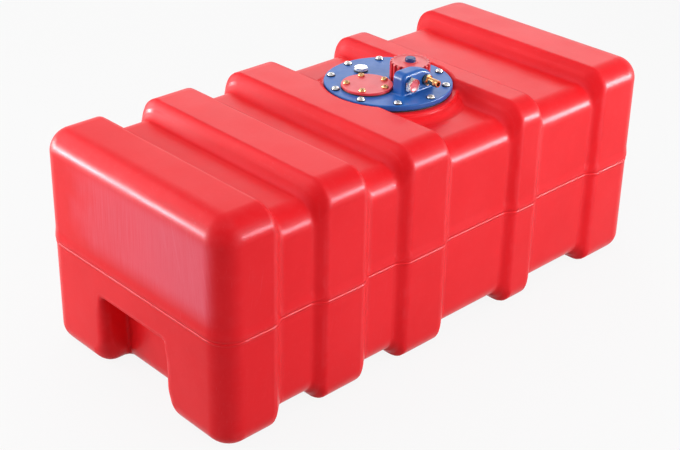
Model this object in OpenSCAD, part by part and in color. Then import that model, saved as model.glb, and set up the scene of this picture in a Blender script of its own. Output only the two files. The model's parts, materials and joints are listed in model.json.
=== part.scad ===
// Inboard fuel tank: a one-piece ribbed plastic tank with a round service plate.
// Millimetres. The origin is under the middle of the tank, on the surface that it stands on.
// +X runs along the tank, -Y is the side that the fittings face, +Z is up.

/* [Tank] */
// Length of the tank over its end walls
tank_l = 762; // [720:1:830]
// Width of the tank across its bands
tank_w = 355; // [340:1:400]
// Height of the tank over its bands
tank_h = 300; // [270:1:360]
// Length of the first end band
band_a = 85; // [78:1:120]
// Length of the strap groove after the first band
groove_a = 65; // [50:1:90]
// Length of the second band
band_b = 75; // [50:1:110]
// Length of the second strap groove
groove_b = 63; // [50:1:90]
// Length of the band before the service plate
band_c = 78; // [60:1:110]
// Length of the wide groove that carries the service plate
groove_c = 126; // [110:1:140]
// Length of the band after the service plate
band_d = 51; // [44:1:90]
// Length of the last end band
band_e = 97; // [78:1:120]
// Depth of the grooves in the top
groove_top = 22; // [14:0.5:24]
// Depth of the grooves in the sides
groove_side = 9; // [4:0.5:12]
// Depth of the grooves in the underside
groove_under = 15; // [6:0.5:18]
// Length over which a groove rolls into its band
groove_roll = 20; // [14:0.5:24]
// Wall thickness of the moulding
wall = 5; // [4:0.25:6]
// Radius of the top edges
top_edge_r = 31; // [26:0.5:34]
// Radius of the bottom edges
under_edge_r = 26; // [20:0.5:34]
// Radius of the upright edges, over that of the other edges
corner_extra_r = 1; // [0.8:0.1:3]

/* [Parting bead] */
// Height of the parting bead over the base
bead_z = 150; // [140:1:170]
// How far the bead stands out of the wall
bead_out = 2; // [1:0.1:3]
// Height of the bead itself
bead_h = 5; // [3:0.5:8]
// Height of the flare above the bead
flare_h = 16; // [10:0.5:24]
// How far the flare stands out at the bead
flare_out = 1.2; // [0.5:0.1:2]

/* [Hand holds] */
// Width of the hand hold in each end
hold_w = 126; // [100:1:140]
// Height of the hand hold over the base
hold_h = 105; // [90:1:118]
// Depth of the hand hold
hold_d = 38; // [28:0.5:46]
// Radius of its outer upright edges
hold_mouth_r = 12; // [8:0.5:14]
// Radius of its inner upright corners
hold_back_r = 10; // [6:0.5:12]

/* [Plate seat] */
// Radius of the access hole in the tank
access_r = 66; // [62:0.5:68]
// Radius of the raised seat
seat_r = 93; // [90:0.5:96]
// Radius of the step round the seat
seat_step_r = 101; // [98:0.5:104]
// Height of the seat's face under the tank's top
seat_drop = 9.5; // [8:0.5:12]
// Height of the step under the seat's face
seat_step_drop = 6; // [4:0.5:8]
// Depth of the moulded seat ring
seat_depth = 22; // [19:0.5:30]
// Gap between the plate and its pocket
pocket_gap = 1.5; // [1:0.25:3]

/* [Service plate] */
// Radius of the service plate
plate_r = 86; // [84:0.5:88]
// Thickness of the service plate
plate_t = 8; // [6:0.5:10]
// Thickness of the plate gasket
gasket_t = 1.5; // [1:0.25:3]
// How far the gasket stays inside the plate's edge
gasket_inset = 1; // [0:0.25:2]
// Radius of the plate's top edge
plate_edge_r = 1.5; // [0.5:0.25:2.5]
// Depth of the ring that centres the plate in its hole
spigot_h = 6; // [4:0.5:8]
// Wall of that ring
spigot_t = 4; // [3:0.5:6]
// Gap round that ring
spigot_gap = 0.5; // [0.3:0.1:1]

/* [Plate screws] */
// Number of plate screws
screw_n = 10; // [8:1:12]
// Radius of the circle of plate screws
screw_circle_r = 77.5; // [76:0.25:79]
// Radius of the screw's thread
screw_r = 2.5; // [2:0.25:3]
// Length of the screw under its head
screw_l = 19; // [16:0.5:20]
// Gap round the screws in what they pass through
screw_gap = 0.25; // [0.1:0.05:0.5]
// Radius of the screw's head
head_r = 5; // [4.2:0.1:5.2]
// Height of the screw's head
head_h = 2.3; // [1.8:0.1:3.8]
// Radius of the sealing washer
washer_r = 5.8; // [5.3:0.1:6.2]
// Thickness of the sealing washer
washer_t = 0.8; // [0.6:0.1:1.4]
// Radius of the brass insert
insert_r = 3.6; // [3.4:0.1:4.2]
// Length of the brass insert
insert_l = 13; // [11:0.5:14]

/* [Sender opening] */
// Place of the sender opening along the tank, from the plate's centre
sender_x = -36.5; // [-38:0.25:-35]
// Place of the sender opening across the tank
sender_y = 3; // [0:0.25:6]
// Radius of the cover
cover_r = 34.5; // [33:0.25:35.5]
// Thickness of the cover
cover_t = 3; // [2:0.25:4]
// Thickness of its gasket
cover_gasket_t = 1.5; // [1:0.25:2.5]
// Radius of the opening under the cover
sender_hole_r = 20.5; // [18:0.25:21]
// Radius of the circle of cover screws
cover_circle_r = 27; // [26.5:0.25:28]
// Angle of the first cover screw
cover_first_a = 137.5; // [132:0.5:142]
// Step between the cover screws
cover_step_a = 75; // [72:0.5:76]
// The two screws that stand closer, as the odd step
cover_odd_a = 60; // [55:0.5:65]
// Radius of the cover screw's head
cover_head_r = 4.6; // [3.6:0.1:5]
// Height of the cover screw's head
cover_head_h = 3.2; // [2:0.1:3.6]
// Length of the cover screw under its head
cover_screw_l = 14; // [12:0.5:14.5]
// Radius of the cover screw's insert
cover_insert_r = 3.2; // [3:0.1:3.4]

/* [Return plug] */
// Place of the plug along the tank, from the plate's centre
plug_x = -4; // [-6:0.25:0]
// Place of the plug across the tank
plug_y = 48; // [46:0.25:49]
// Width of the plug's hexagon across its flats
plug_af = 17; // [15:0.5:18]
// Height of the hexagon
plug_hex_h = 2.6; // [2:0.1:8]
// Radius of the plug's collar
plug_collar_r = 9.5; // [9.2:0.1:11]
// Thickness of the collar
plug_collar_t = 0.8; // [0.6:0.1:2.5]
// Thickness of the plug's seal
plug_seal_t = 2.5; // [1:0.25:4]
// Radius of the plug's thread
plug_r = 6.6; // [5:0.1:7]
// Radius of the plug's seal
plug_seal_r = 9.5; // [8.5:0.1:11.5]
// Thickness of the seals under the fittings
seal_t = 1.5; // [1:0.25:2]

/* [Hood] */
// Left end of the hood, from the plate's centre
hood_x0 = -26; // [-28:0.5:-25]
// Place where the hood's top starts to fall
hood_x1 = 5; // [2:0.5:8]
// Front face of the hood, from the plate's centre
hood_front = 53; // [52:0.5:55]
// Back face of the hood
hood_back = 32; // [32:0.5:38]
// Height of the hood over the plate
hood_h = 30; // [29:0.5:33]
// Radius of the hood's left shoulder
hood_shoulder_r = 9; // [5:0.5:11]
// Radius of the hood's front edge
hood_front_r = 6; // [4:0.5:7]
// Radius of the hood's back edge
hood_back_r = 3; // [2:0.5:5]
// Height of the two fittings over the plate
fitting_z = 14; // [12.5:0.25:15]
// Place of the vent fitting, from the plate's centre
vent_x = -13; // [-14:0.25:-11]
// Place of the hose tail, from the plate's centre
tail_x = 15.5; // [14:0.25:17]
// Distance of the drilled ways from the plate's centre
duct_y = 47; // [46:0.25:48]
// Radius of the drilled ways
duct_r = 2.8; // [2:0.1:3.2]

/* [Vent fitting] */
// Width of the vent fitting's hexagon across its flats
vent_af = 19; // [17:0.5:21]
// Length of the hexagon
vent_hex_l = 6; // [5.5:0.5:8]
// Radius of its thread
vent_r = 7; // [6:0.1:7.5]
// Radius of its seal
vent_seal_r = 9; // [8.5:0.1:10]
// Radius of the mouth in its face
vent_mouth_r = 7.8; // [5:0.1:8]
// Depth of the mouth
vent_mouth_d = 4; // [3.5:0.25:5]
// Radius of the drilled way through it
vent_bore_r = 4; // [3:0.1:4.8]
// Thickness of the red insert in the mouth
vent_insert_t = 3.25; // [2:0.25:3.5]

/* [Hose tail] */
// Radius of the hose tail
tail_r = 5; // [4:0.1:5]
// Length of the hose tail
tail_l = 16.5; // [15:0.5:26]
// Length of its plain shank, where the hose clip sits
tail_plain_l = 10; // [8:0.5:12]
// Width of its hexagon across its flats
tail_af = 13; // [12:0.5:14]
// Length of its hexagon
tail_hex_l = 5; // [4:0.5:6]
// Radius of its thread
tail_thread_r = 5.2; // [4.8:0.1:5.6]
// Radius of its bore
tail_bore_r = 3; // [2:0.1:3.4]
// Radius of its seal
tail_seal_r = 7; // [6.4:0.1:8]
// Depth of the ring grooves in the tail
tail_groove_d = 0.7; // [0.3:0.1:1]

/* [Pickup] */
// Radius of the pickup tube
tube_r = 4; // [3.5:0.1:4.5]
// Wall of the pickup tube
tube_t = 1; // [0.7:0.1:1.4]
// Gap between the pickup strainer and the floor of the tank
pickup_gap = 4; // [2:0.5:12]
// Radius of the strainer
strainer_r = 9; // [8:0.25:12]
// Height of the strainer
strainer_h = 26; // [20:0.5:40]
// Wall of the strainer
strainer_t = 1.2; // [1:0.1:2]
// Number of slots round the strainer
slot_n = 12; // [8:1:14]
// Width of a slot
slot_w = 1.8; // [1:0.1:2.2]
// Radius of the socket under the plate
socket_r = 6; // [5.6:0.1:6.6]
// Length of the socket
socket_l = 12; // [10:0.5:14]
// Width of the tube nut across its flats
nut_af = 17; // [15.5:0.5:19]
// Height of the tube nut
nut_h = 12; // [11:0.5:16]
// Thickness of the nut's lip
nut_lip = 3; // [2:0.25:4]
// Height of the olive
olive_h = 3; // [2:0.25:4]

/* [Filler] */
// Place of the filler along the tank, from the plate's centre
filler_x = 25; // [24:0.25:26]
// Place of the filler across the tank
filler_y = -15.5; // [-16:0.25:-14]
// Outer radius of the filler neck
neck_r = 22; // [20:0.25:22.5]
// Wall of the filler neck
neck_t = 4; // [3:0.25:5]
// Height of the filler neck over the plate
neck_h = 18; // [16:0.5:20]
// Outer radius of the cap over its ribs
cap_r = 27; // [26:0.25:27.25]
// Height of the cap's top over the plate
cap_h = 26; // [25:0.5:29]
// Gap between the cap's skirt and the plate
cap_foot_gap = 0.4; // [0.3:0.1:1]
// Running gap between the cap and the neck
cap_gap = 0.3; // [0.25:0.05:0.5]
// Thickness of the cap's sealing ring
cap_seal_t = 2; // [1.5:0.25:3]
// Radial width of the cap's sealing ring
cap_seal_w = 4.5; // [3:0.25:5.5]
// Play over and under the sealing ring
cap_seal_play = 0.1; // [0.05:0.05:0.2]
// Number of grip ribs round the cap
rib_n = 20; // [14:1:24]
// Depth of the hollows between the ribs
rib_d = 2.4; // [0.8:0.1:2.8]
// Radius of each hollow
rib_hollow_r = 2.6; // [2.4:0.1:3]
// Radius of the cap's top edge
cap_edge_r = 1.2; // [0.6:0.1:3]
// Radius of the button in the middle of the cap
button_r = 7; // [5:0.25:9]
// How far the button stands over the cap
button_h = 5; // [0.8:0.1:6]
// Radius of the button's top edge
button_edge_r = 1.4; // [0.4:0.1:2]
// Depth of the seat that the button is pressed into
button_d = 2; // [1:0.1:2.2]
// Gap between the cap and the hood
cap_hood_gap = 1.5; // [1:0.25:2]

/* [Hidden] */
// Facets of the true curves
$fn = 64;
// Overshoot of a cutter past the face that it cuts
over = 1;
// Slack between two turned pieces that fit together
fit = 0.05;
// How far a hexagon's outer face reaches past its flats
hex_chamfer = 0.3;

corner_r = max(top_edge_r, under_edge_r) + corner_extra_r;
// Borders of the grooves along X
edge_1 = band_a - tank_l / 2;
edge_2 = edge_1 + groove_a;
edge_3 = edge_2 + band_b;
edge_4 = edge_3 + groove_b;
edge_5 = edge_4 + band_c;
edge_6 = edge_5 + groove_c;
edge_7 = edge_6 + band_d;
// The last strap groove takes what the bands and the other grooves leave
edge_8 = tank_l / 2 - band_e;
grooves = [[edge_1, edge_2], [edge_3, edge_4], [edge_5, edge_6], [edge_7, edge_8]];

// Rounding of a hand hold's ceiling: height over hold_h, and share of the hold's depth
hold_ceiling = [[-9, 1], [-3, 0.92], [-0.6, 0.74], [-0.1, 0.06], [1, 0]];
// Radius of the rims of the seat
seat_rim_r = 2.5;

// The service plate lies over the middle of the wide groove
plate_x = (edge_5 + edge_6) / 2;
seat_z = tank_h - seat_drop;
plate_z0 = seat_z + gasket_t;
plate_z = plate_z0 + plate_t;
pocket_r = plate_r + pocket_gap;
spigot_r = access_r - spigot_gap;
pad_r = cover_circle_r + cover_insert_r + 1;
cover_hole_d = cover_screw_l - cover_t - cover_gasket_t + 1;
head_z = plate_z + washer_t;
cover_z = plate_z + cover_gasket_t;
cover_top = cover_z + cover_t;
hood_r = hood_h;
vent_face = hood_front + seal_t;
tail_face = hood_front + seal_t;
tail_tip = tail_face + tail_hex_l + tail_l;
thread_l = hood_front - duct_y - duct_r;
socket_z = plate_z0 - socket_l;
nut_z = socket_z - olive_h - nut_lip;
floor_z = groove_under + wall;
strainer_z = floor_z + pickup_gap;
tube_z0 = strainer_z + strainer_h - strainer_h / 4;
tube_z1 = plate_z0 - duct_r;
neck_z = plate_z + neck_h;
cap_seal_z = neck_z + cap_seal_play;
cap_roof_z = cap_seal_z + cap_seal_t + cap_seal_play;
cap_z = plate_z + cap_h;
cap_in_r = neck_r + cap_gap;

// Points of an arc from angle a0 to angle a1
function arc(cx, cy, r, a0, a1, n) =
    [for (i = [0:n]) [cx + r * cos(a0 + (a1 - a0) * i / n), cy + r * sin(a0 + (a1 - a0) * i / n)]];

// A smooth step from 0 to 1 over the roll of a groove's border
function roll(t) = t <= 0 ? 0 : t >= 1 ? 1 : (1 - cos(180 * t)) / 2;
// How deep the grooves are at x, from 0 on a band to 1 in a groove grown by g at each end
function groove_at(x, g) = max([for (e = grooves)
    roll((x - e[0] + g) / groove_roll + 0.5) * roll((e[1] + g - x) / groove_roll + 0.5)]);
// Places along X where the skin needs a row of points
function side_x(g, n) = [for (e = grooves) each concat(
    [for (i = [0:n]) e[0] - g + groove_roll * (i / n - 0.5)],
    [for (i = [0:n]) e[1] + g + groove_roll * (i / n - 0.5)])];
// Half outline of a hand hold, grown by w: pairs of place across the tank and depth
function hold_half(w, n) = concat(
    [for (p = arc(-hold_w / 2 - hold_mouth_r, hold_mouth_r - w, hold_mouth_r - w, -90, 0, n)) p],
    [for (p = arc(-hold_w / 2 + hold_back_r, hold_d - hold_back_r - w, hold_back_r + w, 180, 90, n)) p]);
function hold_line(w, n) = concat(hold_half(w, n),
    [for (i = [len(hold_half(w, n)) - 1:-1:0]) [-hold_half(w, n)[i][0], hold_half(w, n)[i][1]]]);
// Rings of the skin from its underside to its top: inset, height, share of groove depth, hand hold
function skin_rings(w, n, beads) = concat(
    [for (i = [0:n]) let (a = 90 * i / n, r = under_edge_r - w)
        [r * (1 - sin(a)), w + r * (1 - cos(a)), groove_under, 1]],
    [for (h = hold_ceiling) [0, hold_h + w + h[0], 0, h[1]]],
    [for (b = beads) [-b[0], bead_z + b[1], 0, 0]],
    [for (i = [0:n]) let (a = 90 * i / n, r = top_edge_r - w)
        [r * (1 - cos(a)), tank_h - w - r * (1 - sin(a)), -groove_top, 0]]);
// One ring of points, counter-clockwise seen from above, starting on the -Y side
function skin_loop(ring, w, xs, hold, n) =
    let (hl = tank_l / 2 - w, hw = tank_w / 2 - w, r = corner_r - w, e = ring[0], c = len(hold))
    concat(
        [for (x = xs) [x, e - hw + groove_side * groove_at(x, w / 2)]],
        arc(hl - r, r - hw, r - e, -90, 0, n),
        [for (h = hold) [hl - e - ring[3] * h[1], h[0]]],
        arc(hl - r, hw - r, r - e, 0, 90, n),
        [for (i = [len(xs) - 1:-1:0]) [xs[i], hw - e - groove_side * groove_at(xs[i], w / 2)]],
        arc(r - hl, hw - r, r - e, 90, 180, n),
        [for (i = [c - 1:-1:0]) [e - hl + ring[3] * hold[i][1], hold[i][0]]],
        arc(r - hl, r - hw, r - e, 180, 270, n));

// Flat faces at one end, round a hand hold whose points start at h0: a fan from point a on one
// side, a fan from point b on the other, and a face between them
function end_faces(a, h0, half, b, last) = concat(
    [for (k = [a + 1:h0 + half - 2]) [a, k, k + 1]],
    [[a, h0 + half - 1, h0 + half, b]],
    [for (k = [h0 + half:last - 1]) [k, k + 1, b]]);

// A closed skin of the tank, inset by w
module skin(w, beads, n_corner, n_edge, n_roll) {
    xs = side_x(w / 2, n_roll);
    hold = hold_line(w, n_edge - 1);
    rings = skin_rings(w, n_edge, beads);
    nr = len(rings);
    nx = len(xs);
    m = 2 * nx + 4 * (n_corner + 1) + 2 * len(hold);
    flat_x = tank_l / 2 - corner_r;
    points = [for (ring = rings) each [for (p = skin_loop(ring, w, xs, hold, n_corner))
        [p[0], p[1], ring[1] + (abs(p[0]) < flat_x ? ring[2] * groove_at(p[0], w / 2) : 0)]]];
    // First point of the far side's run, and the last of the near side's
    far = nx + 2 * (n_corner + 1) + len(hold);
    top = (nr - 1) * m;
    sides = [for (k = [0:nr - 2]) each [for (i = [0:m - 1]) each
        let (j = (i + 1) % m, a = k * m + i, b = k * m + j, c = a + m, d = b + m)
            [[a, c, b], [b, c, d]]]];
    under = concat(
        [for (i = [0:nx - 2]) [i, i + 1, far + nx - 2 - i, far + nx - 1 - i]],
        end_faces(nx - 1, nx + n_corner + 1, len(hold) / 2, far, far - 1),
        end_faces(far + nx - 1, far + nx + n_corner + 1, len(hold) / 2, 0, m - 1));
    over_top = [for (f = under) [for (i = [len(f) - 1:-1:0]) top + f[i]]];
    polyhedron(points, concat(sides, under, over_top));
}

// Everything that is placed from the plate's centre
module on_plate(z = 0) {
    translate([plate_x, 0, z]) children();
}
// Copies on the circle of plate screws, none of them on the X axis
module at_screws() {
    for (i = [0:screw_n - 1]) {
        rotate(360 * (i + 0.5) / screw_n) translate([screw_circle_r, 0, 0]) children();
    }
}
// Copies on the circle of cover screws, with one short step between two of them
module at_cover_screws() {
    for (i = [0:4]) {
        turn = i < 3 ? i * cover_step_a : (i - 1) * cover_step_a + cover_odd_a;
        translate([sender_x, sender_y, 0]) rotate(cover_first_a - turn)
            translate([cover_circle_r, 0, 0]) children();
    }
}
// A piece drawn along +Z, laid down so that it points to -Y out of the hood's face
module out_of_hood(x, y) {
    translate([plate_x + x, -y, plate_z + fitting_z]) rotate([90, 0, 0]) children();
}
// A straight cutter from height z0 to z1
module bore(r, z0, z1) {
    translate([0, 0, z0]) cylinder(r = r, h = z1 - z0);
}
// A disc with a rounded top edge
module rounded_disc(r, h, edge) {
    rotate_extrude($fn = 96)
        polygon(concat([[0, 0], [r, 0]], arc(r - edge, h - edge, edge, 0, 90, 4), [[0, h]]));
}
module ring(r_out, r_in, h) {
    difference() {
        cylinder(r = r_out, h = h);
        translate([0, 0, -over]) cylinder(r = r_in, h = h + 2 * over);
    }
}
// A hexagonal prism of given width across its flats
module hexagon(af, h) {
    cylinder(r = af / sqrt(3), h = h, $fn = 6);
}
// The cone that breaks the corners of a hexagon's outer face
module chamfer_cone(af, h) {
    cylinder(r1 = af / 2 + h, r2 = af / 2 + hex_chamfer, h = h);
}
// A pan head with a rounded rim and a cross recess
module pan_head(r, h) {
    difference() {
        rounded_disc(r, h, h * 0.6, $fn = 32);
        for (a = [0, 90]) rotate(a) translate([-r / 2, -r / 9, h * 0.45]) cube([r, r / 4.5, h]);
    }
}

module tank_shell() {
    bead = [[0, -bead_h / 2], [bead_out / 2, -bead_h / 4], [bead_out, -bead_h / 8], [bead_out, bead_h / 8],
        [flare_out, bead_h / 2], [flare_out / 3, bead_h / 2 + flare_h / 2], [0, bead_h / 2 + flare_h]];
    color("red") difference() {
        union() {
            skin(0, bead, 5, 5, 4);
            on_plate(seat_z - seat_depth) plate_seat();
        }
        difference() {
            skin(wall, [[0, 0]], 3, 3, 3);
            on_plate(seat_z - seat_depth) cylinder(r = seat_r, h = tank_h);
        }
        on_plate(seat_z) cylinder(r = pocket_r, h = tank_h);
        on_plate(seat_z - seat_depth - over) cylinder(r = access_r, h = tank_h);
        on_plate(seat_z - insert_l) at_screws() cylinder(r = insert_r, h = insert_l + over, $fn = 32);
    }
}
// The raised ring under the plate, with its step and rounded rims
module plate_seat() {
    step_h = seat_depth - seat_step_drop;
    rotate_extrude($fn = 96) polygon(concat(
        [[access_r - over, 0], [seat_r, 0], [seat_step_r, seat_depth / 3]],
        arc(seat_step_r - seat_rim_r, step_h - seat_rim_r, seat_rim_r, 0, 90, 4),
        arc(seat_r - seat_rim_r, seat_depth - seat_rim_r, seat_rim_r, 0, 90, 4),
        [[access_r - over, seat_depth]]));
}
module threaded_inserts() {
    color("goldenrod") on_plate(seat_z - insert_l) at_screws()
        ring(insert_r, screw_r + fit, insert_l, $fn = 32);
}
module plate_gasket() {
    color([0.08, 0.08, 0.09]) on_plate(seat_z) difference() {
        ring(plate_r - gasket_inset, access_r, gasket_t);
        at_screws() bore(screw_r + screw_gap, -over, gasket_t + over, $fn = 32);
    }
}

// The hood's shape seen from the front: a shoulder at the left and one long fall to the right
module hood_front_shape() {
    polygon(concat([[hood_x0, -plate_t / 2], [hood_x1 + hood_r, -plate_t / 2]],
        arc(hood_x1, 0, hood_r, 0, 90, 16),
        arc(hood_x0 + hood_shoulder_r, hood_h - hood_shoulder_r, hood_shoulder_r, 90, 180, 8)));
}
// The hood's shape seen from its end
module hood_side_shape() {
    polygon(concat([[-hood_front, -plate_t / 2], [-hood_back, -plate_t / 2]],
        arc(-hood_back - hood_back_r, hood_h - hood_back_r, hood_back_r, 0, 90, 4),
        arc(hood_front_r - hood_front, hood_h - hood_front_r, hood_front_r, 90, 180, 6)));
}
module hood() {
    difference() {
        intersection() {
            translate([0, -hood_back + over, 0]) rotate([90, 0, 0])
                linear_extrude(hood_front - hood_back + 2 * over) hood_front_shape();
            translate([hood_x0 - over, 0, 0]) rotate([90, 0, 90])
                linear_extrude(hood_x1 + hood_r - hood_x0 + 2 * over) hood_side_shape();
        }
        translate([filler_x, filler_y, 0]) cylinder(r = cap_r + cap_hood_gap, h = hood_h + over);
    }
}
// A turned cutter along +Z, from a list of pairs of radius and height
module turned(steps) {
    rotate_extrude($fn = 32) polygon(concat([[0, steps[0][1]]],
        [for (i = [0:len(steps) - 2]) each [[steps[i][0], steps[i][1]], [steps[i][0], steps[i + 1][1]]]],
        [[0, steps[len(steps) - 1][1]]]));
}
// The part of a drilled way that comes in through the hood's face
module duct_in(x, r_thread) {
    cross_r = duct_r + 0.4;
    translate([x, cross_r - duct_y, fitting_z]) rotate([90, 0, 0])
        turned([[cross_r, 0], [r_thread + fit, cross_r + duct_r], [0, hood_front - duct_y + cross_r + over]]);
}
// The part that goes down through the plate, with a socket for the tube or none
module duct_down(x, steps) {
    translate([x, -duct_y, 0]) turned(concat(steps, [[0, fitting_z]]));
}
// The ring under the plate that centres it, thick at the cover screws
module spigot() {
    difference() {
        cylinder(r = spigot_r, h = spigot_h + over);
        difference() {
            bore(spigot_r - spigot_t, -over, spigot_h + 2 * over);
            translate([sender_x, sender_y, 0]) bore(pad_r, -2 * over, spigot_h + 3 * over);
        }
    }
}
module top_plate() {
    color("royalblue") on_plate(plate_z) difference() {
        union() {
            translate([0, 0, -plate_t]) rounded_disc(plate_r, plate_t, plate_edge_r);
            translate([0, 0, -plate_t - spigot_h]) spigot();
            translate([filler_x, filler_y, -over]) cylinder(r = neck_r, h = neck_h + over);
            hood();
            translate([tail_x, -duct_y, -plate_t - socket_l]) cylinder(r = socket_r, h = socket_l + over);
        }
        translate([filler_x, filler_y, 0]) bore(neck_r - neck_t, -plate_t - over, neck_h + over);
        translate([sender_x, sender_y, 0]) bore(sender_hole_r, -plate_t - spigot_h - over, over);
        translate([plug_x, plug_y, 0]) bore(plug_r + fit, -plate_t - over, over);
        at_screws() bore(screw_r + screw_gap, -plate_t - over, over, $fn = 32);
        at_cover_screws() bore(cover_insert_r, -cover_hole_d, over, $fn = 32);
        duct_in(vent_x, vent_r);
        duct_in(tail_x, tail_thread_r);
        duct_down(vent_x, [[duct_r, -plate_t - over]]);
        duct_down(tail_x, [[tube_r + fit, -plate_t - socket_l - over], [duct_r, -plate_t - duct_r]]);
    }
}
module plate_washers() {
    color([0.1, 0.1, 0.11]) on_plate(plate_z) at_screws()
        ring(washer_r, screw_r + screw_gap, washer_t, $fn = 32);
}
module plate_screws() {
    color("silver") on_plate(head_z) at_screws() {
        pan_head(head_r, head_h, $fn = 32);
        translate([0, 0, -screw_l]) cylinder(r = screw_r, h = screw_l, $fn = 32);
    }
}

module sender_gasket() {
    color([0.08, 0.08, 0.09]) on_plate(plate_z) difference() {
        translate([sender_x, sender_y, 0]) ring(cover_r + 0.4, sender_hole_r, cover_gasket_t);
        at_cover_screws() bore(screw_r + screw_gap, -over, cover_gasket_t + over, $fn = 32);
    }
}
module sender_inserts() {
    color("goldenrod") on_plate(plate_z - cover_hole_d) at_cover_screws()
        ring(cover_insert_r, screw_r + fit, cover_hole_d, $fn = 32);
}
module sender_cover() {
    color("tomato") on_plate(cover_z) difference() {
        translate([sender_x, sender_y, 0]) rounded_disc(cover_r, cover_t, cover_t / 3);
        at_cover_screws() bore(screw_r + screw_gap, -over, cover_t + over, $fn = 32);
    }
}
module sender_screws() {
    color("gold") on_plate(cover_top) at_cover_screws() {
        pan_head(cover_head_r, cover_head_h, $fn = 32);
        translate([0, 0, -cover_screw_l]) cylinder(r = screw_r, h = cover_screw_l, $fn = 32);
    }
}

module return_plug_seal() {
    color([0.08, 0.08, 0.09]) on_plate(plate_z) translate([plug_x, plug_y, 0])
        ring(plug_seal_r, plug_r + fit, plug_seal_t);
}
module return_plug() {
    color("silver") on_plate(plate_z + plug_seal_t) translate([plug_x, plug_y, 0]) difference() {
        union() {
            cylinder(r = plug_collar_r, h = plug_collar_t);
            intersection() {
                hexagon(plug_af, plug_collar_t + plug_hex_h);
                chamfer_cone(plug_af, plug_collar_t + plug_hex_h);
            }
            translate([0, 0, -plate_t - plug_seal_t]) cylinder(r = plug_r, h = plate_t + plug_seal_t + over);
        }
        translate([0, 0, -plate_t - plug_seal_t - over]) cylinder(r = plug_r - 2, h = plate_t + over);
    }
}

module vent_seal() {
    color([0.08, 0.08, 0.09]) out_of_hood(vent_x, hood_front) ring(vent_seal_r, vent_r + fit, seal_t);
}
module vent_fitting() {
    color("silver") out_of_hood(vent_x, vent_face) difference() {
        union() {
            intersection() {
                rotate(30) hexagon(vent_af, vent_hex_l);
                chamfer_cone(vent_af, vent_hex_l);
            }
            translate([0, 0, -thread_l - seal_t]) cylinder(r = vent_r, h = thread_l + seal_t + over);
        }
        bore(vent_mouth_r, vent_hex_l - vent_mouth_d, vent_hex_l + over);
        bore(vent_bore_r, -thread_l - seal_t - over, vent_hex_l);
    }
}
module vent_insert() {
    color("red") out_of_hood(vent_x, vent_face + vent_hex_l - vent_mouth_d) difference() {
        cylinder(r = vent_mouth_r, h = vent_insert_t);
        translate([0, 0, vent_insert_t * 0.7])
            cylinder(r1 = vent_mouth_r / 2, r2 = vent_mouth_r, h = vent_insert_t * 0.4);
    }
}

module hose_tail_seal() {
    color([0.08, 0.08, 0.09]) out_of_hood(tail_x, hood_front) ring(tail_seal_r, tail_thread_r + fit, seal_t);
}
// Half outline of the hose tail: a plain shank, two ring grooves and a rounded tip
function tail_outline() =
    let (g0 = tail_hex_l + tail_plain_l, g = (tail_l - tail_plain_l) / 3, r = tail_r, d = tail_groove_d)
    [[0, 0], [r, 0], [r, g0], [r - d, g0 + g / 4], [r - d, g0 + g / 2], [r, g0 + g],
        [r - d, g0 + g * 1.25], [r - d, g0 + g * 1.5], [r, g0 + g * 2], [r, g0 + g * 2.7],
        [r - d, tail_hex_l + tail_l], [0, tail_hex_l + tail_l]];
module hose_tail() {
    color("goldenrod") out_of_hood(tail_x, tail_face) difference() {
        union() {
            intersection() {
                hexagon(tail_af, tail_hex_l);
                chamfer_cone(tail_af, tail_hex_l);
            }
            rotate_extrude() polygon(tail_outline());
            translate([0, 0, -thread_l - seal_t]) cylinder(r = tail_thread_r, h = thread_l + seal_t + over);
        }
        bore(tail_bore_r, -thread_l - seal_t - over, tail_hex_l + tail_l + over);
    }
}

module pickup_nut() {
    color("goldenrod") translate([plate_x + tail_x, -duct_y, nut_z]) difference() {
        hexagon(nut_af, nut_h);
        translate([0, 0, nut_lip]) cylinder(r = socket_r + fit, h = nut_h);
        translate([0, 0, -over]) cylinder(r = tube_r + fit, h = nut_h);
    }
}
module pickup_olive() {
    r = socket_r - fit;
    color("gold") translate([plate_x + tail_x, -duct_y, nut_z + nut_lip]) difference() {
        rotate_extrude() polygon([[0, 0], [r - 1, 0], [r, olive_h / 2], [r - 1, olive_h], [0, olive_h]]);
        translate([0, 0, -over]) cylinder(r = tube_r, h = olive_h + 2 * over);
    }
}
module pickup_tube() {
    color("silver") translate([plate_x + tail_x, -duct_y, tube_z0])
        ring(tube_r, tube_r - tube_t, tube_z1 - tube_z0);
}
module pickup_strainer() {
    collar_h = strainer_h / 4;
    color("white") translate([plate_x + tail_x, -duct_y, strainer_z]) difference() {
        union() {
            cylinder(r = strainer_r, h = strainer_h - collar_h);
            cylinder(r = tube_r + 2, h = strainer_h);
        }
        bore(strainer_r - strainer_t, strainer_t, strainer_h - collar_h - strainer_t);
        bore(tube_r - tube_t, 2 * strainer_t, strainer_h);
        bore(tube_r, strainer_h - collar_h, strainer_h + over);
        for (i = [0:slot_n - 1]) rotate(360 * i / slot_n)
            translate([strainer_r - strainer_t * 2, -slot_w / 2, strainer_t * 2])
                cube([strainer_t * 3, slot_w, strainer_h - collar_h - 4 * strainer_t]);
    }
}

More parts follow.
